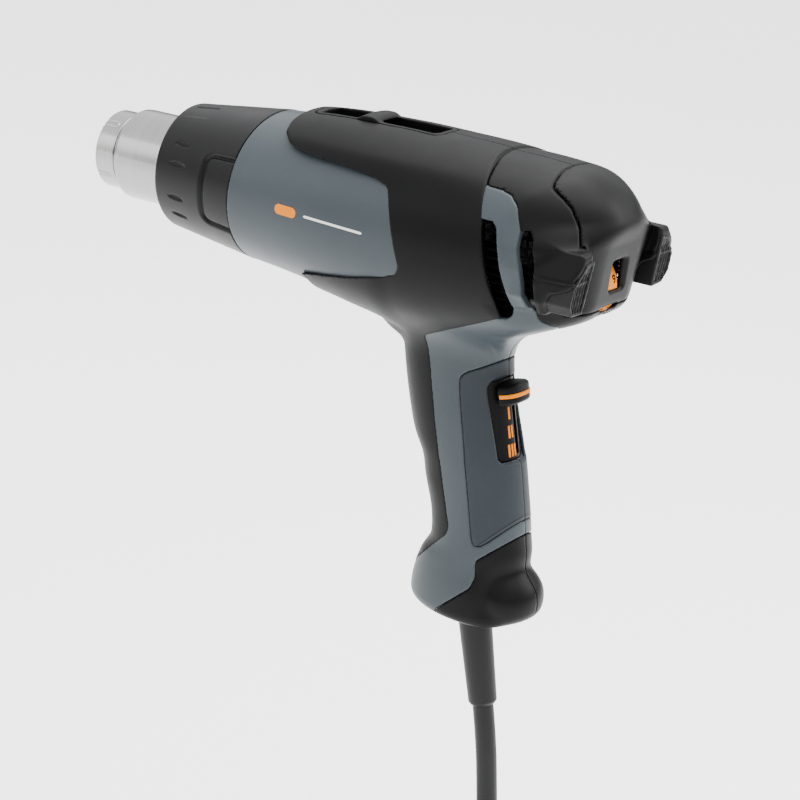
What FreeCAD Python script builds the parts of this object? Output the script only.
# Heat gun: barrel along X with the air outlet towards -X, handle down, +Z up.
# Lengths in millimetres. The pieces are drawn from the barrel datum (outlet rim on the
# barrel axis) and every piece is then placed so that the middle of the grip is the origin.
import FreeCAD, Part
import Sketcher
import math
import os

V = FreeCAD.Vector
doc = FreeCAD.newDocument("heat_gun")
sheet = doc.addObject("Spreadsheet::Sheet", "Sizes")
sheet.Label = "Sizes"
ROWS = [0]
NODES = []


class Dim:
    """A length with the sheet expression that gives it."""

    def __init__(self, v, e):
        self.v = float(v)
        self.e = e

    def __add__(self, o):
        o = dim(o)
        return Dim(self.v + o.v, "(%s + %s)" % (self.e, o.e))

    def __sub__(self, o):
        o = dim(o)
        return Dim(self.v - o.v, "(%s - %s)" % (self.e, o.e))

    def __mul__(self, k):
        return Dim(self.v * k, "(%s * %r)" % (self.e, float(k)))

    def __neg__(self):
        return Dim(-self.v, "(-%s)" % self.e)

    def __radd__(self, o):
        return dim(o) + self

    def __rsub__(self, o):
        return dim(o) - self


def dim(o):
    return o if isinstance(o, Dim) else Dim(o, "%r" % float(o))


def size(name, value):
    ROWS[0] += 1
    cell = "B%d" % ROWS[0]
    sheet.set("A%d" % ROWS[0], name)
    sheet.set(cell, repr(float(value)))
    sheet.setAlias(cell, name)
    return Dim(value, "Sizes." + name)


# ---------------------------------------------------------------- driving sizes
grip_x = size("grip_x", 195.0)
grip_z = size("grip_z", -100.0)
fit_gap = size("fit_gap", 0.1)
run_gap = size("run_gap", 0.05)
wall = size("wall", 3.4)
skin = size("skin", 1.5)
outlet_rad = size("outlet_rad", 17.0)
outlet_wall = size("outlet_wall", 1.0)
outlet_len = size("outlet_len", 9.8)
tube_rad = size("tube_rad", 19.73)
tube_end = size("tube_end", 77.0)
flange_rad = size("flange_rad", 27.0)
sleeve_front = size("sleeve_front", 40.3)
sleeve_rear = size("sleeve_rear", 86.6)
sleeve_front_rad = size("sleeve_front_rad", 26.9)
sleeve_lip_rad = size("sleeve_lip_rad", 22.4)
sleeve_wall = size("sleeve_wall", 2.3)
housing_front = size("housing_front", 87.0)
shaft_rad = size("shaft_rad", 2.5)
impeller_rad = size("impeller_rad", 26.5)
impeller_start = size("impeller_start", 126.0)
impeller_len = size("impeller_len", 15.0)
can_rad = size("can_rad", 18.0)
can_start = size("can_start", 146.0)
can_len = size("can_len", 40.0)
wheel_x = size("wheel_x", 234.6)
wheel_z = size("wheel_z", -10.6)
wheel_rad = size("wheel_rad", 15.4)
wheel_width = size("wheel_width", 9.0)
wheel_shaft_rad = size("wheel_shaft_rad", 3.0)
stand_tilt = size("stand_tilt", 9.1)
foot_depth = size("foot_depth", 22.0)
handle_tilt = size("handle_tilt", 11.65)
switch_x = size("switch_x", 209.5)
switch_z = size("switch_z", -62.5)
window_half = size("window_half", 9.6)
window_up = size("window_up", 6.2)
window_down = size("window_down", 28.2)
knob_half = size("knob_half", 9.2)
knob_tall = size("knob_tall", 9.0)
relief_tilt = size("relief_tilt", 11.0)
relief_x = size("relief_x", 199.4)
relief_z = size("relief_z", -162.0)
relief_len = size("relief_len", 40.6)
relief_top_rad = size("relief_top_rad", 7.1)
relief_end_rad = size("relief_end_rad", 5.9)
cord_dia = size("cord_dia", 9.0)
coil_rad = size("coil_rad", 54.0)
coil_thick = size("coil_thick", 13.6)
plug_rad = size("plug_rad", 17.5)
pin_rad = size("pin_rad", 2.4)
pin_len = size("pin_len", 19.0)
eye_front = size("eye_front", 110.0)
eye_rear = size("eye_rear", 169.0)
eye_half = size("eye_half", 8.4)
eye_floor = size("eye_floor", 31.0)


def table(name, heads, rows):
    """Loft stations kept in the sheet, one alias for each number."""
    out = []
    for i, r in enumerate(rows):
        out.append([size("%s_%s_no%d" % (name, h, i + 1), v).v for h, v in zip(heads, r)])
    return out


# barrel sections: station along X, half width, top and bottom about the barrel axis, squareness
BARREL = table("barrel", ("x", "half", "top", "low", "square"), [
    (87.0, 36.4, 34.2, -31.6, 2.0),
    (105, 38.0, 36.4, -34.6, 2.05),
    (122, 39.2, 38.9, -37.4, 2.1),
    (145, 40.4, 40.3, -41.2, 2.15),
    (172, 41.4, 40.3, -43.0, 2.2),
    (196, 41.6, 39.4, -40.0, 2.25),
    (214, 41.0, 38.0, -35.0, 2.25),
    (228, 39.6, 36.4, -28.6, 2.25),
    (239, 36.4, 33.4, -23.0, 2.3),
    (247, 31.2, 28.0, -18.2, 2.4),
    (252.6, 24.0, 20.0, -14.2, 2.6),
])
# handle sections: height, front, rear, half thickness, squareness
HANDLE = table("handle", ("z", "front", "rear", "half", "square"), [
    (-22, 150.0, 236.0, 28.0, 2.25),
    (-36, 154.0, 221.0, 22.5, 2.25),
    (-47, 155.8, 209.2, 19.2, 2.25),
    (-62, 158.2, 209.4, 18.0, 2.25),
    (-82, 163.0, 213.5, 17.6, 2.25),
    (-104, 171.0, 218.1, 17.6, 2.25),
    (-124, 176.6, 222.6, 18.0, 2.25),
    (-136, 172.8, 225.4, 19.0, 2.25),
    (-146, 169.6, 230.0, 20.2, 2.25),
    (-157, 170.0, 230.4, 20.2, 2.25),
    (-164.5, 178.0, 224.0, 17.0, 2.25),
])
doc.recompute()


# ---------------------------------------------------------------- helpers
def place(obj, x, y, z, tilt=None, sign=1.0):
    """Binds a piece's place to the sheet: x, y, z are from the barrel datum."""
    x, y, z = dim(x), dim(y), dim(z)
    if tilt is not None:
        obj.setExpression(".Placement.Rotation.Axis.x", "0")
        obj.setExpression(".Placement.Rotation.Axis.y", "1")
        obj.setExpression(".Placement.Rotation.Axis.z", "0")
        obj.setExpression(".Placement.Rotation.Angle", "%g * %s" % (sign, tilt.e))
    obj.setExpression(".Placement.Base.x", "%s - Sizes.grip_x" % x.e)
    obj.setExpression(".Placement.Base.y", y.e)
    obj.setExpression(".Placement.Base.z", "%s - Sizes.grip_z" % z.e)


def node(obj, label):
    obj.Label = label
    NODES.append(obj)
    return obj


def new_body(label, x=0, y=0, z=0, tilt=None, sign=1.0):
    body = doc.addObject("PartDesign::Body", label)
    node(body, label)
    place(body, x, y, z, tilt, sign)
    return body


def sketch(body, role, name):
    sk = body.newObject("Sketcher::SketchObject", name)
    plane = [o for o in body.Origin.OriginFeatures if o.Role == role][0]
    sk.AttachmentSupport = [(plane, "")]
    sk.MapMode = "FlatFace"
    return sk


def pin_point(sk, geo, pos, x, y):
    """Holds a sketch point at x, y from the sketch origin."""
    for kind, d, axis in (("DistanceX", dim(x), -2), ("DistanceY", dim(y), -1)):
        if abs(d.v) < 1e-9:
            sk.addConstraint(Sketcher.Constraint("PointOnObject", geo, pos, axis))
        elif d.v > 0:
            k = sk.addConstraint(Sketcher.Constraint(kind, -1, 1, geo, pos, d.v))
            sk.setExpression("Constraints[%d]" % k, d.e)
        else:
            k = sk.addConstraint(Sketcher.Constraint(kind, geo, pos, -1, 1, -d.v))
            sk.setExpression("Constraints[%d]" % k, "-(%s)" % d.e)


def outline(sk, pts):
    """A closed outline of straight lines through bound points."""
    n = len(pts)
    p = [(dim(x), dim(y)) for x, y in pts]
    geo = []
    for i in range(n):
        a, b = p[i], p[(i + 1) % n]
        geo.append(sk.addGeometry(Part.LineSegment(V(a[0].v, a[1].v, 0), V(b[0].v, b[1].v, 0)), False))
    for i in range(n):
        sk.addConstraint(Sketcher.Constraint("Coincident", geo[i], 2, geo[(i + 1) % n], 1))
    for i in range(n):
        pin_point(sk, geo[i], 1, p[i][0], p[i][1])


def ring(sk, x, y, r):
    r = dim(r)
    g = sk.addGeometry(Part.Circle(V(dim(x).v, dim(y).v, 0), V(0, 0, 1), r.v), False)
    pin_point(sk, g, 3, x, y)
    k = sk.addConstraint(Sketcher.Constraint("Radius", g, r.v))
    sk.setExpression("Constraints[%d]" % k, r.e)


def box_outline(sk, x0, y0, x1, y1):
    outline(sk, [(x0, y0), (x1, y0), (x1, y1), (x0, y1)])


def pad(body, sk, length, middle=False, back=False, name="Pad"):
    f = body.newObject("PartDesign::Pad", name)
    f.Profile = sk
    f.setExpression("Length", dim(length).e)
    if middle:
        f.Midplane = True
    f.Reversed = back
    body.Tip = f
    return f


def pocket(body, sk, length, middle=False, back=False, name="Pocket"):
    f = body.newObject("PartDesign::Pocket", name)
    f.Profile = sk
    f.setExpression("Length", dim(length).e)
    if middle:
        f.Midplane = True
    f.Reversed = back
    body.Tip = f
    return f


def spin(body, sk, axis="H_Axis", name="Revolution", cut=False):
    f = body.newObject("PartDesign::Groove" if cut else "PartDesign::Revolution", name)
    f.Profile = sk
    f.ReferenceAxis = (sk, [axis])
    f.Angle = 360.0
    body.Tip = f
    return f


def turned(label, pts, x=0, y=0, z=0, tilt=None, sign=1.0, axis="H_Axis"):
    """A turned piece: its half outline is spun about the sketch's own axis."""
    body = new_body(label, x, y, z, tilt, sign)
    sk = sketch(body, "XZ_Plane", label + "_outline")
    outline(sk, pts)
    spin(body, sk, axis, label + "_turn")
    return body


def polar(body, feats, count, role, name):
    f = body.newObject("PartDesign::PolarPattern", name)
    f.Originals = feats
    ax = [o for o in body.Origin.OriginFeatures if o.Role == role][0]
    f.Axis = (ax, [""])
    f.Angle = 360.0
    f.Occurrences = count
    body.Tip = f
    return f


def feature(label, shape):
    """A free-form piece: its Shape is set first and its Placement after."""
    f = doc.addObject("Part::Feature", label)
    f.Shape = shape
    f.Placement = FreeCAD.Placement(V(-grip_x.v, 0, -grip_z.v), FreeCAD.Rotation())
    return node(f, label)


# ---------------------------------------------------------------- free-form half lofts
def half_wire(pts_fn, count):
    """Half outline on the -Y side from the first to the last point on Y = 0, closed by a line."""
    pts = [pts_fn(i / (count - 1.0)) for i in range(count)]
    t0, t1 = V(0, -1, 0), V(0, 1, 0)
    c = Part.BSplineCurve()
    c.interpolate(Points=pts, InitialTangent=t0, FinalTangent=t1)
    return Part.Wire([c.toShape(), Part.LineSegment(pts[-1], pts[0]).toShape()])


def sup(t, n):
    """Point on a unit superellipse, from +1 on the first axis round to -1 as t goes 0 to 1."""
    a = math.pi * t
    ca, sa = math.cos(a), math.sin(a)
    return (math.copysign(abs(ca) ** (2.0 / n), ca), abs(sa) ** (2.0 / n))


def barrel_half(off, x_lo, x_hi):
    wires = []
    for x, half, top, low, sq in BARREL:
        x = min(max(x, x_lo), 1e9)
        if x > 250:
            x = x_hi
        elif x > 244:
            x = x - off * 0.5
        cz, rz, ry = (top + low) / 2.0, (top - low) / 2.0 - off, half - off

        def f(u, x=x, cz=cz, rz=rz, ry=ry, sq=sq):
            c, s = sup(u, sq)
            return V(x, -ry * s, cz + rz * c)

        wires.append(half_wire(f, 15))
    return Part.makeLoft(wires, True, False)


def handle_half(off, z_lo):
    wires = []
    for z, front, rear, half, sq in HANDLE:
        if z < -160:
            z = z_lo
        elif z < -150:
            z = z + off * 0.5
        cx, rx, ry = (front + rear) / 2.0, (rear - front) / 2.0 - off, half - off

        def f(u, z=z, cx=cx, rx=rx, ry=ry, sq=sq):
            c, s = sup(u, sq)
            return V(cx + rx * c, -ry * s, z)

        wires.append(half_wire(f, 15))
    return Part.makeLoft(wires, True, False)


def solid_half(off, x_lo, x_hi, z_lo):
    a = barrel_half(off, x_lo, x_hi)
    b = handle_half(off, z_lo)
    return a.fuse(b)


def prism(pts, y0=-60.0, y1=0.5, shrink=0.0):
    """A side-view outline in X and Z pulled along Y."""
    w = Part.makePolygon([V(x, y0, z) for x, z in pts] + [V(pts[0][0], y0, pts[0][1])])
    face = Part.Face(w)
    if shrink:
        face = face.makeOffset2D(-shrink, 2, False, False, False)
        if not face.isNull() and face.ShapeType != "Face":
            face = face.Faces[0]
    return face.extrude(V(0, y1 - y0, 0))


OUT = solid_half(0.0, housing_front.v, 252.6, -164.5)
MID = solid_half(skin.v + 2.0 * fit_gap.v, 80.0, 252.6 - skin.v, -164.5 + skin.v)
MIN = solid_half(skin.v, 80.0, 252.6 - skin.v + 0.1, -164.5 + skin.v - 0.1)
INN = solid_half(wall.v, 80.0, 252.6 - wall.v, -164.5 + wall.v)
LIN = solid_half(wall.v + 0.1, 80.0, 252.6 - wall.v - 0.2, -164.5 + wall.v + 0.2)
LIN2 = solid_half(wall.v + 1.1, 80.0, 252.6 - wall.v - 1.2, -164.5 + wall.v + 1.2)

# side-view outlines, from the barrel datum
OVERMOLD = [(104, 46), (106.5, 35.5), (112, 31.0), (118.5, 28.2), (127, 26.6), (141, 25.6), (158, 22.6),
            (164.5, 20.6), (167.4, 17.0), (168.5, 8.0), (171.0, -1.5), (173.8, -10.0), (171.5, -13.6), (166, -15.6),
            (148, -19.4), (131, -22.4), (121.5, -25.0), (125.0, -29.5), (127.0, -60), (150.0, -70), (150, -131),
            (166, -150), (169.4, -147.5), (193.7, -123.3), (193.7, -119.3), (190.4, -104), (187.2, -93),
            (183.5, -76), (178.2, -49.4), (177.7, -43), (180.5, -40.2), (222.2, -21.0),
            (219.2, -12.0), (215.0, 0.5), (212.6, 12.5), (212.4, 17.5), (212.8, 31.0), (212.2, 33.5), (206, 38.5), (198.2, 46)]
SHROUD = [(198.6, 46), (206.4, 38.8), (212.6, 33.8), (213.3, 31.6), (222.2, 29.8), (226.6, 27.0), (228.6, 19.0), (229.6, 7.0),
          (232.6, -4.5), (237.8, -15.2), (243.5, -20.0), (246.2, -14.0), (246.9, 17.0), (246.2, 23.0),
          (243.0, 28.4), (235.5, 31.5), (232.3, 33.5), (229.9, 37.0), (229.0, 46)]
CAP = [(229.2, 46), (230.1, 37.1), (232.5, 33.7), (235.7, 31.7), (243.2, 28.6), (246.5, 23.1), (247.2, 17.0), (246.5, -14.0),
       (275, -14.0), (275, 46)]
SLOT_FRONT = [(212.8, 12.5), (213.0, 17.0), (217.6, 16.2), (218.8, 13.5), (219.4, 6.5), (222.4, -4.5), (226.4, -14.5),
              (225.0, -19.4), (222.4, -20.0), (219.4, -12.0), (215.2, 0.5)]
SLOT_REAR = [(229.4, 16.0), (232.6, 14.0), (234.6, 5.0), (238.4, -9.6), (237.6, -13.2), (236.2, -11.9), (232.9, -4.2), (229.9, 7.0)]
GRIP = [(236, -37.0), (222, -40.5), (208.8, -46.1), (198.0, -52.2), (195.3, -55.2), (195.2, -60.2), (198.3, -81.1), (200.0, -89.3),
        (204.2, -110.4), (206.4, -123.2), (209.1, -125.6), (212.0, -124.2), (240.0, -99.0)]
HEEL = [(245, -103.5), (233.2, -111.6), (223.9, -118.9), (210.2, -131.1), (208.5, -133.2), (209.4, -138.7), (208.0, -142.5),
        (199.2, -150.1), (191.6, -157.2), (189.0, -175), (245, -175)]

# foot outline in Y and Z about the barrel datum, on the stand plane
FOOT = [(26.5, 8.1), (32.1, 7.3), (38.8, -1.0), (39.0, -8.8), (35.5, -13.2), (27.4, -13.8)]
tilt = math.radians(stand_tilt.v)


def foot_block(grow, front):
    pts = [V(256.9, -y, z) for y, z in FOOT]
    # the rear end lies on the stand plane, which leans forward going down
    pts = [V(256.9 + (p.z - 8.1) * math.tan(tilt), p.y, p.z) for p in pts]
    face = Part.Face(Part.makePolygon(pts + [pts[0]]))
    if grow:
        face = face.makeOffset2D(grow, 2, False, False, False)
        if face.ShapeType != "Face":
            face = face.Faces[0]
    s = face.extrude(V(-(256.9 - front), 0, 0))
    if grow:
        s = s.fuse(face.extrude(V(10, 0, 0)))
    return s


def switch_frame(shape):
    """Moves a shape drawn about the knob's middle on the handle's rear face into place."""
    s = shape.copy()
    s.rotate(V(0, 0, 0), V(0, 1, 0), -handle_tilt.v)
    s.translate(V(switch_x.v, 0, switch_z.v))
    return s


window = switch_frame(Part.makeBox(14, 2 * window_half.v, window_up.v + window_down.v,
                                   V(-9.0, -window_half.v, -window_down.v)))
relief_cut = Part.makeCylinder(relief_top_rad.v + 0.15, 40, V(0, 0, -30), V(0, 0, 1))
relief_cut.rotate(V(0, 0, 0), V(0, 1, 0), -relief_tilt.v)
relief_cut.translate(V(relief_x.v, 0, relief_z.v))
eye_cut = Part.makeBox(eye_rear.v - eye_front.v + 0.2, 2 * eye_half.v + 0.2, 30,
                       V(eye_front.v - 0.1, -eye_half.v - 0.1, eye_floor.v - 0.1))
wheel_cut = Part.makeCylinder(wheel_rad.v + 0.9, wheel_width.v + 1.4, V(wheel_x.v, -wheel_width.v / 2 - 0.7, wheel_z.v), V(0, 1, 0))
window_rear = Part.makeBox(20, 13.0, 12.0, V(244, -6.5, -9.5))
feet_cut = foot_block(0.1, 256.9 - foot_depth.v - 0.1)

# screw places: X and Z
SCREWS = [(206.0, 29.5), (157.0, -35.0), (177.0, -60.0), (206.0, -111.0), (181.0, -151.0)]


def cut_all(shape, cutters):
    for c in cutters:
        shape = shape.cut(c)
    return shape


def whole(shape):
    """The largest solids of a boolean's result, without slivers."""
    solids = [s for s in shape.Solids if s.Volume > 2.0]
    return solids[0] if len(solids) == 1 else Part.makeCompound(solids)


shell = OUT.cut(INN).cut(wheel_cut)
# screw bosses between the walls
for sx, sz in SCREWS:
    boss = Part.makeCylinder(4.2, 60, V(sx, -60, sz), V(0, 1, 0)).common(OUT)
    shell = shell.fuse(boss)
skins = []
for reg in (OVERMOLD, SHROUD, GRIP):
    skins.append(prism(reg).cut(MID))
open_cuts = [eye_cut, feet_cut, window, prism(SLOT_FRONT), prism(SLOT_REAR), relief_cut]
base = cut_all(shell, skins + [prism(CAP), prism(HEEL)] + open_cuts)
halves = {}
halves["housing_left"] = base
halves["overmold_left"] = cut_all(OUT.common(prism(OVERMOLD, shrink=fit_gap.v)).cut(MIN), [eye_cut, prism(SLOT_FRONT)])
halves["rear_shroud_left"] = cut_all(OUT.common(prism(SHROUD, shrink=fit_gap.v)).cut(MIN), [feet_cut, prism(SLOT_REAR), wheel_cut, window_rear])
halves["grip_pad_left"] = cut_all(OUT.common(prism(GRIP, shrink=fit_gap.v)).cut(MIN), [window])
heel = OUT.cut(INN).common(prism(HEEL, shrink=fit_gap.v))
bump = Part.makeCylinder(9.0, 7.0, V(222.8, -7.0, -147.5), V(0, 1, 0))
heel = cut_all(heel.fuse(bump.cut(INN)), [relief_cut])
halves["heel_cover_left"] = heel
mesh_reg = [(208.5, 20.0), (236.6, 18.4), (239.0, 5.0), (242.0, -10.0), (240.0, -17.5), (221.0, -24.0), (215.0, -12.0), (211.0, 1.0)]
halves["intake_mesh_left"] = cut_all(LIN.common(prism(mesh_reg, y0=-60, y1=-22)).cut(LIN2), [feet_cut, window_rear])
cap_half = cut_all(OUT.cut(INN).common(prism(CAP, shrink=fit_gap.v)), [feet_cut, window_rear, wheel_cut])
front_gap = Part.makeBox(400, 0.05, 400, V(0, -0.05, -250))

for name in ("housing_left", "overmold_left", "rear_shroud_left", "grip_pad_left", "heel_cover_left", "intake_mesh_left"):
    s = halves[name]
    if name != "intake_mesh_left":
        s = s.cut(front_gap)
    if name == "housing_left":
        for sx, sz in SCREWS:
            s = s.cut(Part.makeCylinder(1.55, 12.0, V(sx, -11.9, sz), V(0, 1, 0)))
    left = whole(s)
    feature(name, left)
    r = halves[name]
    if name != "intake_mesh_left":
        r = r.cut(front_gap)
    r = r.mirror(V(0, 0, 0), V(0, 1, 0))
    if name in ("housing_left", "overmold_left", "grip_pad_left"):
        for sx, sz in SCREWS:
            if name == "housing_left":
                r = r.cut(Part.makeCylinder(1.75, 60, V(sx, -1, sz), V(0, 1, 0)))
            r = r.cut(Part.makeCylinder(3.6, 60, V(sx, 9.0, sz), V(0, 1, 0)))
    feature(name.replace("left", "right"), whole(r))
cap = cap_half.fuse(cap_half.mirror(V(0, 0, 0), V(0, 1, 0))).removeSplitter()
feature("rear_cap", whole(cap))

# ---------------------------------------------------------------- protective sleeve (lofted, slides off forwards)
def sleeve_half(off, stations):
    wires = []
    for x, back in stations:
        g = (x - sleeve_front.v) / (sleeve_rear.v - sleeve_front.v)
        ry = sleeve_front_rad.v + (36.4 - sleeve_front_rad.v) * g - off - back
        rz = sleeve_front_rad.v + (32.9 - sleeve_front_rad.v) * g - off - back
        cz = 0.3 + 1.0 * g

        def f(u, x=x, cz=cz, rz=rz, ry=ry):
            c, q = sup(u, 2.05)
            return V(x, -ry * q, cz + rz * c)

        wires.append(half_wire(f, 15))
    return Part.makeLoft(wires, True, True)


sl = sleeve_half(0.0, [(sleeve_front.v, 2.0), (sleeve_front.v + 2.0, 0.0), (65.0, 0.0), (sleeve_rear.v, 0.0)])
sl = sl.cut(sleeve_half(sleeve_wall.v, [(sleeve_front.v + 2.4, 0.0), (65.0, 0.0), (sleeve_rear.v + 3.0, 0.0)]))
sl = sl.fuse(sl.mirror(V(0, 0, 0), V(0, 1, 0))).removeSplitter()
sl = sl.cut(Part.makeCylinder(sleeve_lip_rad.v, 30, V(sleeve_front.v - 5, 0, 0), V(1, 0, 0)))
feature("protective_sleeve", whole(sl))

# ---------------------------------------------------------------- hot end
turned("outlet_nozzle", [
    (0, outlet_rad - outlet_wall), (0, outlet_rad), (outlet_len, outlet_rad), (outlet_len + 0.4, outlet_rad - 0.35),
    (outlet_len + 0.9, outlet_rad + 0.2), (13.1, tube_rad), (tube_end, tube_rad), (tube_end, flange_rad),
    (tube_end + 1.0, flange_rad), (tube_end + 1.0, tube_rad - 0.8), (13.6, tube_rad - 0.8), (outlet_len + 0.8, outlet_rad - outlet_wall)])
turned("mica_tube", [(16.0, tube_rad - 1.9), (16.0, tube_rad - 1.2), (tube_end + 1.0, tube_rad - 1.2), (tube_end + 1.0, tube_rad - 1.9)])
core = turned("heater_core", [(20.0, 3.2), (20.0, 16.6), (72.0, 16.6), (72.0, 3.2)])
sk = sketch(core, "YZ_Plane", "channel")
ring(sk, 0, 10.4, 2.6)
ch = pocket(core, sk, 200.0, middle=True, name="channel_cut")
polar(core, [ch], 8, "X_Axis", "channels")
coils = new_body("heating_coil")
# the wire coils stand as one turned spool: eight rods joined by an end ring
sk = sketch(coils, "XZ_Plane", "end_ring")
outline(sk, [(72.3, 8.6), (72.3, 12.2), (74.5, 12.2), (74.5, 8.6)])
spin(coils, sk, "H_Axis", "ring_turn")
sk = sketch(coils, "YZ_Plane", "rod")
sk.AttachmentOffset = FreeCAD.Placement(V(0, 0, 22.0), FreeCAD.Rotation())
ring(sk, 0, 10.4, 2.1)
rod = pad(coils, sk, 51.0, name="rod_pad")
polar(coils, [rod], 8, "X_Axis", "rods")
turned("thermocouple", [(18.0, 0), (18.0, 1.1), (19.0, 1.5), (84.0, 1.5), (84.0, 0)])
hold = turned("heater_holder", [(tube_end + 1.1, 19.4), (tube_end + 1.1, 27.6), (90.5, 27.6), (90.5, 20.5), (85.0, 20.5), (85.0, 19.4)])
sk = sketch(hold, "YZ_Plane", "vent")
ring(sk, 0, 24.6, 1.8)
vc = pocket(hold, sk, 300.0, middle=True, name="vent_cut")
polar(hold, [vc], 12, "X_Axis", "vents")
turned("air_guide", [(90.7, 20.6), (90.7, 22.2), (104.0, 27.6), (124.0, 29.8), (124.0, 28.2), (105.0, 26.2), (92.0, 20.6)])

# ---------------------------------------------------------------- fan and motor
imp = turned("fan_impeller", [(impeller_start, shaft_rad + 0.02), (impeller_start, 8.0), (impeller_start + impeller_len, 10.0),
                              (impeller_start + impeller_len, shaft_rad + 0.02)])
sk = sketch(imp, "YZ_Plane", "blade")
sk.AttachmentOffset = FreeCAD.Placement(V(0, 0, 126.6), FreeCAD.Rotation())
outline(sk, [(-0.7, 6.0), (0.7, 6.0), (4.7, impeller_rad - 0.6), (3.2, impeller_rad)])
bl = pad(imp, sk, impeller_len - 1.4, name="blade_pad")
polar(imp, [bl], 11, "X_Axis", "blades")
can = turned("motor_can", [
    (can_start, 5.2), (can_start, can_rad), (can_start + can_len, can_rad), (can_start + can_len, 5.2),
    (can_start + can_len - 1.5, 5.2), (can_start + can_len - 1.5, can_rad - 1.6), (can_start + 1.5, can_rad - 1.6), (can_start + 1.5, 5.2)])
turned("front_bearing", [(can_start - 2.0, shaft_rad + run_gap), (can_start - 2.0, 5.15), (can_start + 3.0, 5.15), (can_start + 3.0, shaft_rad + run_gap)])
turned("rear_bearing", [(can_start + can_len - 3.0, shaft_rad + run_gap), (can_start + can_len - 3.0, 5.15), (can_start + can_len + 2.0, 5.15),
                        (can_start + can_len + 2.0, shaft_rad + run_gap)])
turned("motor_shaft", [(impeller_start - 4.0, 0), (impeller_start - 4.0, 2.0), (impeller_start - 3.0, shaft_rad), (191.0, shaft_rad), (191.0, 0)])
turned("motor_armature", [(can_start + 6.0, shaft_rad + 0.02), (can_start + 6.0, 13.2), (can_start + 26.0, 13.2), (can_start + 26.0, shaft_rad + 0.02)])
com = turned("commutator", [(can_start + 27.0, shaft_rad + 0.02), (can_start + 27.0, 5.6), (can_start + 35.0, 5.6), (can_start + 35.0, shaft_rad + 0.02)])
sk = sketch(com, "YZ_Plane", "slit")
box_outline(sk, -0.2, 4.6, 0.2, 6.4)
sc = pocket(com, sk, 500.0, middle=True, name="slit_cut")
polar(com, [sc], 12, "X_Axis", "segments")
mag = turned("motor_magnets", [(can_start + 5.0, 13.9), (can_start + 5.0, can_rad - 1.7), (can_start + 27.0, can_rad - 1.7), (can_start + 27.0, 13.9)])
sk = sketch(mag, "YZ_Plane", "gap")
box_outline(sk, -3.0, -30.0, 3.0, 30.0)
pocket(mag, sk, 500.0, middle=True, name="gap_cut")
mnt = turned("motor_mount", [(158.0, can_rad + 0.05), (158.0, 25.0), (164.0, 25.0), (164.0, can_rad + 0.05)])
sk = sketch(mnt, "YZ_Plane", "air_way")
ring(sk, 0, 21.6, 2.4)
aw = pocket(mnt, sk, 500.0, middle=True, name="air_way_cut")
polar(mnt, [aw], 10, "X_Axis", "air_ways")
brush = new_body("motor_brushes")
sk = sketch(brush, "YZ_Plane", "brush")
sk.AttachmentOffset = FreeCAD.Placement(V(0, 0, 175.0), FreeCAD.Rotation())
box_outline(sk, -1.8, 5.7, 1.8, 14.5)
bp1 = pad(brush, sk, 5.0, name="brush_pad")
sk = sketch(brush, "XZ_Plane", "card")
outline(sk, [(180.6, 6.0), (180.6, 16.2), (182.4, 16.2), (182.4, 6.0)])
spin(brush, sk, "H_Axis", "card_turn")
sk = sketch(brush, "YZ_Plane", "tie")
sk.AttachmentOffset = FreeCAD.Placement(V(0, 0, 180.0), FreeCAD.Rotation())
box_outline(sk, -1.8, 7.0, 1.8, 14.5)
bp2 = pad(brush, sk, 1.0, name="tie_pad")
polar(brush, [bp1, bp2], 2, "X_Axis", "brushes")

# ---------------------------------------------------------------- temperature wheel and electronics
wh = new_body("temperature_wheel", wheel_x, 0, wheel_z)
sk = sketch(wh, "XZ_Plane", "rim")
ring(sk, 0, 0, wheel_rad)
ring(sk, 0, 0, wheel_shaft_rad + 0.02)
pad(wh, sk, wheel_width, middle=True, name="rim_pad")
sk = sketch(wh, "XZ_Plane", "notch")
ring(sk, 0, wheel_rad + 0.9, 1.3)
nt = pocket(wh, sk, wheel_width + 2, middle=True, name="notch_cut")
polar(wh, [nt], 36, "Y_Axis", "notches")
ax = new_body("wheel_shaft", wheel_x, 0, wheel_z)
sk = sketch(ax, "XZ_Plane", "shaft")
ring(sk, 0, 0, wheel_shaft_rad)
pad(ax, sk, 20.0, middle=True, name="shaft_pad")
br = new_body("wheel_bracket", wheel_x, -10.2, wheel_z)
sk = sketch(br, "XZ_Plane", "plate")
box_outline(sk, -9.0, -5.5, 7.0, 9.0)
ring(sk, 0, 0, wheel_shaft_rad + run_gap)
pad(br, sk, 3.4, back=True, name="plate_pad")
pot = new_body("potentiometer", wheel_x, 6.0, wheel_z)
sk = sketch(pot, "XZ_Plane", "case")
box_outline(sk, -8.0, -4.0, 6.0, 8.4)
ring(sk, 0, 0, wheel_shaft_rad + run_gap)
pad(pot, sk, 5.4, back=True, name="case_pad")
pcb = doc.addObject("Part::Box", "control_board")
node(pcb, "control_board")
for prop, d in (("Length", 30.0), ("Width", 1.6), ("Height", 31.0)):
    pcb.setExpression(prop, dim(size("board_" + prop.lower(), d).v).e)
place(pcb, 212.0, 14.0, -13.5)
cap_x = doc.addObject("Part::Box", "suppression_capacitor")
node(cap_x, "suppression_capacitor")
for prop, d in (("Length", 18.0), ("Width", 8.5), ("Height", 14.0)):
    cap_x.setExpression(prop, size("capacitor_" + prop.lower(), d).e)
place(cap_x, 196.0, 15.8, -13.0)
sink = new_body("triac_heat_sink", 214.0, 13.9, 6.0)
sk = sketch(sink, "XY_Plane", "fins")
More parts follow.
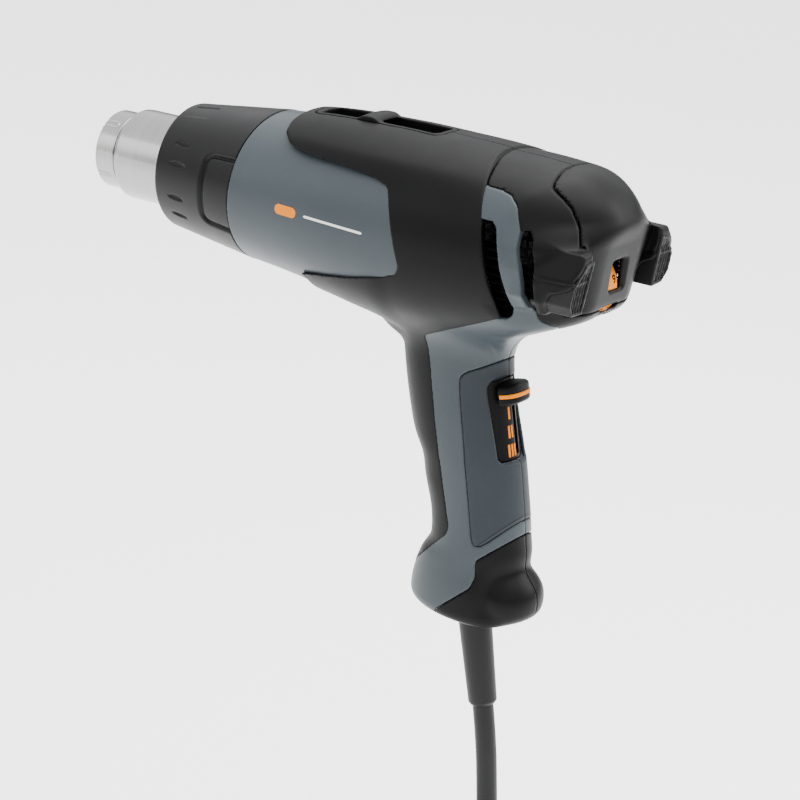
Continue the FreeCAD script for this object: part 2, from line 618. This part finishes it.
outline(sk, [(0, 0), (0, -9), (1.2, -9), (1.2, -1.5), (4.2, -1.5), (4.2, -9), (5.4, -9), (5.4, -1.5), (8.4, -1.5), (8.4, -9),
             (9.6, -9), (9.6, -1.5), (12.6, -1.5), (12.6, -9), (13.8, -9), (13.8, 0)])
pad(sink, sk, 9.5, name="fin_pad")

# ---------------------------------------------------------------- feet on the rear stand plane
for side, sgn in (("left", -1.0), ("right", 1.0)):
    s = foot_block(0.0, 256.9 - foot_depth.v)
    s = s.cut(INN)
    if sgn > 0:
        s = s.mirror(V(0, 0, 0), V(0, 1, 0))
    feature("rear_foot_" + side, whole(s))

# ---------------------------------------------------------------- hanging eye in the top
eye = new_body("hanging_eye")
sk = sketch(eye, "XY_Plane", "tray")
sk.AttachmentOffset = FreeCAD.Placement(V(0, 0, eye_floor.v), FreeCAD.Rotation())
box_outline(sk, eye_front, -eye_half, eye_rear, eye_half)
pad(eye, sk, 9.8, name="tray_pad")
sk = sketch(eye, "XZ_Plane", "hollow")
outline(sk, [(eye_front + 1.6, 32.4), (eye_rear - 1.6, 32.4), (eye_rear - 1.6, 60.0), (141.0, 60.0), (139.4, 38.6), (131.2, 38.6),
             (129.8, 60.0), (eye_front + 1.6, 60.0)])
pocket(eye, sk, (eye_half - 1.5) * 2, middle=True, name="hollow_cut")

# ---------------------------------------------------------------- switch on the handle's rear
plate = new_body("switch_plate", switch_x, 0, switch_z, handle_tilt, -1.0)
sk = sketch(plate, "YZ_Plane", "plate")
sk.AttachmentOffset = FreeCAD.Placement(V(0, 0, -4.4), FreeCAD.Rotation())
box_outline(sk, -(window_half - 0.1), -(window_down - 0.1), window_half - 0.1, window_up - 0.1)
box_outline(sk, -1.6, -(window_down - 1.2), 1.6, 2.6)
pad(plate, sk, 2.0, name="plate_pad")
knob = new_body("switch_knob", switch_x, 0, switch_z, handle_tilt, -1.0)
sk = sketch(knob, "XY_Plane", "cap")
outline(sk, [(-2.3, -knob_half), (1.2, -knob_half), (4.2, -(knob_half - 2.2)), (5.4, -3.0), (5.4, 3.0), (4.2, knob_half - 2.2),
             (1.2, knob_half), (-2.3, knob_half)])
pad(knob, sk, knob_tall, middle=True, name="cap_pad")
sk = sketch(knob, "XY_Plane", "stem")
box_outline(sk, -8.6, -1.4, -2.3, 1.4)
pad(knob, sk, 4.0, middle=True, name="stem_pad")
sk = sketch(knob, "XY_Plane", "band_seat")
outline(sk, [(-1.0, -(knob_half + 1.7)), (7.0, -(knob_half + 1.7)), (7.0, knob_half + 1.7), (-1.0, knob_half + 1.7), (-1.0, knob_half - 0.5), (1.0, knob_half - 0.5), (3.9, knob_half - 2.6),
             (4.9, 3.0), (4.9, -3.0), (3.9, -(knob_half - 2.6)), (1.0, -(knob_half - 0.5)), (-1.0, -(knob_half - 0.5))])
pocket(knob, sk, 1.8, middle=True, name="band_groove")
band = new_body("switch_band", switch_x, 0, switch_z, handle_tilt, -1.0)
sk = sketch(band, "XY_Plane", "band")
outline(sk, [(-0.95, knob_half - 0.45), (1.05, knob_half - 0.45), (3.95, knob_half - 2.55), (4.95, 3.0), (4.95, -3.0),
             (3.95, -(knob_half - 2.55)), (1.05, -(knob_half - 0.45)), (-0.95, -(knob_half - 0.45)), (-0.95, -knob_half - 0.05),
             (1.3, -knob_half - 0.05), (4.5, -(knob_half - 2.2)), (5.7, -3.1), (5.7, 3.1), (4.5, knob_half - 2.2), (1.3, knob_half + 0.05),
             (-0.95, knob_half + 0.05)])
pad(band, sk, 1.7, middle=True, name="band_pad")
sw = new_body("switch_block", switch_x, 0, switch_z, handle_tilt, -1.0)
sk = sketch(sw, "YZ_Plane", "block")
sk.AttachmentOffset = FreeCAD.Placement(V(0, 0, -20.0), FreeCAD.Rotation())
box_outline(sk, -6.4, -27.6, 6.4, 5.8)
pad(sw, sk, 15.2, name="block_pad")
sk = sketch(sw, "YZ_Plane", "channel")
sk.AttachmentOffset = FreeCAD.Placement(V(0, 0, -9.0), FreeCAD.Rotation())
box_outline(sk, -1.7, -(window_down - 1.0), 1.7, 2.8)
pocket(sw, sk, 6.0, back=True, name="channel_cut")

# ---------------------------------------------------------------- cable entry in the heel
rel = turned("strain_relief", [(0, 6.0), (9.6, 6.0), (9.6, 3.6), (relief_top_rad, 3.0), (relief_top_rad, -2.0), (relief_end_rad + 0.2, -39.0),
                               (relief_end_rad - 0.6, -(relief_len - 0.0)), (0, -(relief_len - 0.0))],
             relief_x, 0, relief_z, relief_tilt, -1.0, axis="V_Axis")
stub = turned("inner_cord_end", [(0, 6.1), (cord_dia * 0.5, 6.1), (cord_dia * 0.5, 26.0), (0, 26.0)],
              relief_x, 0, relief_z, relief_tilt, -1.0, axis="V_Axis")
clamp = new_body("cord_clamp", relief_x, 0, relief_z, relief_tilt, -1.0)
sk = sketch(clamp, "XZ_Plane", "bar")
box_outline(sk, 4.6, 12.0, 8.6, 20.0)
pad(clamp, sk, 24.0, middle=True, name="bar_pad")
sk = sketch(clamp, "YZ_Plane", "screw_way")
ring(sk, -8.6, 16.0, 1.6)
ring(sk, 8.6, 16.0, 1.6)
pocket(clamp, sk, 60.0, middle=True, name="screw_way_cut")
scr = []
for i, yy in enumerate((-8.6, 8.6)):
    s = Part.makeCylinder(1.5, 9.0, V(0.6, yy, 16.0), V(1, 0, 0)).fuse(Part.makeCylinder(2.8, 2.0, V(8.65, yy, 16.0), V(1, 0, 0)))
    s.rotate(V(0, 0, 0), V(0, 1, 0), -relief_tilt.v)
    s.translate(V(relief_x.v, 0, relief_z.v))
    scr.append(s)
feature("clamp_screws", Part.makeCompound(scr))
term = new_body("terminal_block", 189.0, 0, -131.0, handle_tilt, -1.0)
sk = sketch(term, "XY_Plane", "case")
box_outline(sk, 0, -10.0, 10.0, 10.0)
pad(term, sk, 9.0, name="case_pad")
sk = sketch(term, "XY_Plane", "ways")
ring(sk, 5.0, -5.0, 1.7)
ring(sk, 5.0, 5.0, 1.7)
pocket(term, sk, 40.0, middle=True, name="ways_cut")
screws = []
for sx, sz in SCREWS:
    screws.append(Part.makeCylinder(1.5, 19.6, V(sx, -10.5, sz), V(0, 1, 0)).fuse(Part.makeCylinder(3.2, 2.4, V(sx, 9.05, sz), V(0, 1, 0))))
screws = [s.removeSplitter() for s in screws]


# ---------------------------------------------------------------- wires and cord
def tangent_path(points, note):
    """Straight runs joined by tangent arcs; each arc is as large as its two runs allow."""
    edges, radii = [], []
    here = points[0]
    for a, b, c in zip(points, points[1:], points[2:]):
        u, w = (b - a), (c - b)
        lu, lw = u.Length, w.Length
        u, w = V(u).normalize(), V(w).normalize()
        turn = math.acos(max(-1, min(1, u.dot(w))))
        shorter = min(lu, lw)
        r = 0.45 * shorter / math.tan(turn / 2)
        back = r * math.tan(turn / 2)
        p, q = b - u * back, b + w * back
        bis = (w - u).normalize()
        centre = b + bis * (r / math.cos(turn / 2))
        m = centre + (b - centre).normalize() * r
        edges.append(Part.LineSegment(here, p).toShape())
        edges.append(Part.Arc(p, m, q).toShape())
        radii.append(r)
        here = q
    edges.append(Part.LineSegment(here, points[-1]).toShape())
    print("%s: radii in mm %s" % (note, " ".join("%.0f" % r for r in radii)))
    return Part.Wire(edges)


def tube(points, dia, note):
    path = tangent_path(points, note)
    d = (points[1] - points[0]).normalize()
    circ = Part.Wire([Part.makeCircle(dia / 2.0, points[0], d)])
    s = path.makePipeShell([circ], True, False)
    want = math.pi * (dia / 2.0) ** 2 * path.Length
    print("%s: length %.1f mm, volume %.1f against %.1f" % (note, path.Length, s.Volume, want))
    return s, path.Length


wires = []
for yy, dz in ((-5.0, 0.0), (5.0, 0.0)):
    pts = [V(193.6, yy, -119.7), V(191.6, yy * 1.2, -112.0), V(187.0, yy * 1.5, -104.0), V(181.0, yy * 1.4, -92.0),
           V(180.0, yy * 1.6, -76.0), V(184.0, yy * 2.0, -62.0), V(187.0, yy * 2.1, -46.0)]
    wires.append(tube(pts, 2.4, "inner wire")[0])
feature("inner_wires", Part.makeCompound(wires))

# the lead leaves the strain relief along its axis and comes down to the wound coil
th = math.radians(relief_tilt.v)
end = V(relief_x.v + (relief_len.v + 0.1) * math.sin(th), 0, relief_z.v - (relief_len.v + 0.1) * math.cos(th))
LEAD = [end, V(210.3, 0, -219.0), V(211.9, 0.6, -238.0), V(214.2, 0.2, -259.0), V(219.3, -0.3, -280.0), V(229.0, 0, -300.0)]
s, lead_len = tube(LEAD, cord_dia.v, "lead")
feature("mains_cord", s)
# the first turn lies on the outside of the bundle, one cord width out from its middle
cx = LEAD[-1].x - (coil_rad.v + cord_dia.v) * math.cos(math.radians(30))
cz = LEAD[-1].z - (coil_rad.v + cord_dia.v) * math.sin(math.radians(30))
coil = doc.addObject("Part::Torus", "cord_coil")
node(coil, "cord_coil")
coil.setExpression("Radius1", coil_rad.e)
coil.setExpression("Radius2", coil_thick.e)
coil.Placement = FreeCAD.Placement(V(cx - grip_x.v, 0, cz - grip_z.v), FreeCAD.Rotation(V(1, 0, 0), 90))
TAIL = [V(cx + coil_rad.v + 4.5, -7.8, cz - 4.0), V(cx + coil_rad.v + 5.5, -8.4, cz - 22.0), V(cx + coil_rad.v + 6.0, -9.0, cz - 40.0)]
s, tail_len = tube(TAIL, cord_dia.v, "tail")
feature("cord_tail", s)
print("coil centre %.2f %.2f from the barrel datum; cord outside the coil %.1f mm" % (cx, cz, lead_len + tail_len))
px, py, pz = TAIL[-1].x, TAIL[-1].y, TAIL[-1].z - 0.4
turned("plug_body", [(0, 0), (5.6, 0), (6.4, -12.0), (9.0, -16.0), (plug_rad - 3.0, -22.0), (plug_rad, -30.0), (plug_rad, -50.0),
                     (plug_rad - 1.0, -51.0), (0, -51.0)], px, py, pz, axis="V_Axis")
pins = []
for dx in (-9.5, 9.5):
    pins.append(Part.makeCylinder(pin_rad.v, pin_len.v, V(px + dx, py, pz - 51.0 - pin_len.v), V(0, 0, 1)))
feature("plug_pins", Part.makeCompound(pins))
ta = math.radians(75.0)
tie = new_body("cord_tie", cx + coil_rad.v * math.cos(ta), 0, cz + coil_rad.v * math.sin(ta))
sk = sketch(tie, "XZ_Plane", "strap")
outline(sk, [(-6.0, coil_thick + 0.7), (-6.0, coil_thick + 2.2), (6.0, coil_thick + 2.2), (6.0, coil_thick + 0.7)])
spin(tie, sk, "H_Axis", "strap_turn")
tie.setExpression(".Placement.Rotation.Axis.x", "0")
tie.setExpression(".Placement.Rotation.Axis.y", "1")
tie.setExpression(".Placement.Rotation.Axis.z", "0")
tie.setExpression(".Placement.Rotation.Angle", "15")
feature("housing_screws", Part.makeCompound(screws))

# ---------------------------------------------------------------- check and write
doc.recompute()
bad = []
for o in doc.Objects:
    if "Invalid" in o.State or "Error" in o.State:
        bad.append("%s %s" % (o.Name, o.State))
for o in NODES:
    if o.Shape.isNull() or not o.Shape.isValid() or not o.Shape.Solids:
        bad.append("%s has no valid shape" % o.Label)
if bad:
    raise SystemExit("not written:\n" + "\n".join(bad))
os.makedirs("parts", exist_ok=True)
for f in os.listdir("parts"):
    if f.endswith(".step") and f[:-5] not in [o.Label for o in NODES]:
        os.remove(os.path.join("parts", f))
for o in NODES:
    o.Shape.exportStep("parts/%s.step" % o.Label)
    b = o.Shape.BoundBox
    print("%-22s solids %d vol %9.1f  x %.1f..%.1f y %.1f..%.1f z %.1f..%.1f" % (
        o.Label, len(o.Shape.Solids), o.Shape.Volume, b.XMin, b.XMax, b.YMin, b.YMax, b.ZMin, b.ZMax))
print(len(NODES), "pieces")
